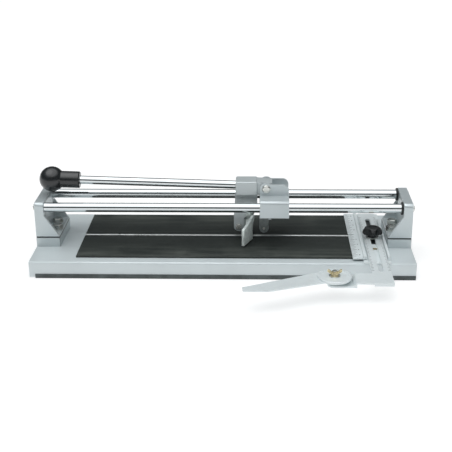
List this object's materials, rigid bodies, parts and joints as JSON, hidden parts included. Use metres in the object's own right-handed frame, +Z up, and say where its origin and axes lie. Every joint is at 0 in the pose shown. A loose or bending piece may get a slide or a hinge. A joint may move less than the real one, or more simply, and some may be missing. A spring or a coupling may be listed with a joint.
{
  "type": "tile cutter",
  "caption": "Manual tile cutter: sheet base with rubber pads, two rails, sliding carriage with lever, scoring wheel and breaker, end fence with angle guide.",
  "frame": {"origin": "on the bench, half way along the base and on the scoring plane between the two rails", "axes": "+X along the rails from the handle end to the fence end, +Y to the back, +Z up from the bench"},
  "size_m": [0.5656, 0.3137, 0.1374],
  "materials": {
    "silver_paint": "glossy silver-grey stoving paint",
    "bracket_paint": "silver paint over a die casting",
    "saddle_paint": "silver paint over a casting",
    "lever_cast": "silver paint over a casting",
    "breaker_cast": "bare zinc-plated casting",
    "holder_steel": "dark phosphated steel",
    "chrome": "polished chrome plate",
    "zinc_steel": "bright zinc-plated fastener",
    "bar_steel": "bright rolled steel",
    "hard_metal": "ground hard metal",
    "bronze": "sintered bronze",
    "brass": "yellow-passivated brass",
    "pad_rubber": "matt black rubber",
    "trim_rubber": "dark grey extruded rubber",
    "ring_rubber": "black rubber",
    "black_plastic": "glossy black phenolic",
    "knob_plastic": "satin black nylon",
    "nylon": "black nylon",
    "fence_alu": "satin anodised",
    "arm_alu": "satin anodised"
  },
  "bodies": {
    "frame": {"base_plate": "silver_paint", "front_edge_strip": "trim_rubber", "rear_edge_strip": "trim_rubber", "front_pad": "pad_rubber", "rear_pad": "pad_rubber", "snapping_bar": "bar_steel", "left_riser": "bracket_paint", "right_riser": "bracket_paint", "left_bracket": "bracket_paint", "right_bracket": "bracket_paint", "front_rail": "chrome", "rear_rail": "chrome", "rail_end_screws": "zinc_steel", "rail_bumpers": "ring_rubber", "bracket_gaskets": "ring_rubber", "bracket_bolts": "zinc_steel", "bracket_washers": "zinc_steel", "base_washers": "zinc_steel", "base_nuts": "zinc_steel", "end_fence": "fence_alu", "scale_plate": "fence_alu", "fence_screws": "zinc_steel", "fence_guide": "fence_alu", "guide_strip": "black_plastic", "guide_screws": "brass", "clamp_bolt": "zinc_steel", "clamp_washer": "zinc_steel"},
    "clamp": {"clamp_knob": "knob_plastic", "knob_insert": "brass"},
    "arm": {"fence_arm": "arm_alu", "swivel_bolt": "zinc_steel", "hub_spacer": "zinc_steel"},
    "angle_guide": {"angle_blade": "arm_alu", "angle_disc": "arm_alu", "swivel_washer": "zinc_steel"},
    "wing": {"wing_nut": "brass"},
    "carriage": {"carriage_saddle": "saddle_paint", "front_slide_block": "nylon", "rear_slide_block": "nylon", "wheel_holder": "holder_steel", "holder_screws": "zinc_steel", "wheel_axle": "zinc_steel", "pivot_pin": "zinc_steel", "pivot_clip": "zinc_steel"},
    "wheel": {"scoring_wheel": "hard_metal"},
    "lever": {"lever_head": "lever_cast", "pivot_bush": "bronze", "lever_rod": "chrome", "ball_knob": "black_plastic", "rod_set_screw": "zinc_steel", "breaker_screw": "zinc_steel", "breaker_nut": "zinc_steel"},
    "breaker": {"breaker_foot": "breaker_cast"}
  },
  "joints": [
    {"name": "carriage_slide", "type": "slide", "parent": "frame", "child": "carriage", "axis": [1, 0, 0], "range_m": [-0.245, 0.126]},
    {"name": "lever_hinge", "type": "hinge", "parent": "carriage", "child": "lever", "pos_m": [0.0645, 0, 0.1085], "axis": [0, 1, 0], "range_deg": [0, 24]},
    {"name": "breaker_pivot", "type": "hinge", "parent": "lever", "child": "breaker", "pos_m": [0.0233, 0, 0.0464], "axis": [0, 1, 0], "range_deg": [-8, 0]},
    {"name": "wheel_spin", "type": "hinge", "parent": "carriage", "child": "wheel", "pos_m": [0.0613, 0, 0.0413], "axis": [0, 1, 0], "continuous": true},
    {"name": "fence_slide", "type": "slide", "parent": "frame", "child": "arm", "axis": [0, 1, 0], "range_m": [-0.06, 0.04]},
    {"name": "clamp_knob_turn", "type": "hinge", "parent": "frame", "child": "clamp", "pos_m": [0.225, -0.01, 0.04], "axis": [0, 0, 1], "continuous": true},
    {"name": "angle_guide_swivel", "type": "hinge", "parent": "arm", "child": "angle_guide", "pos_m": [0.158, -0.164, 0.032], "axis": [0, 0, 1], "range_deg": [-69, 60]},
    {"name": "wing_nut_turn", "type": "hinge", "parent": "arm", "child": "wing", "pos_m": [0.158, -0.164, 0.038], "axis": [0, 0, 1], "continuous": true}
  ]
}
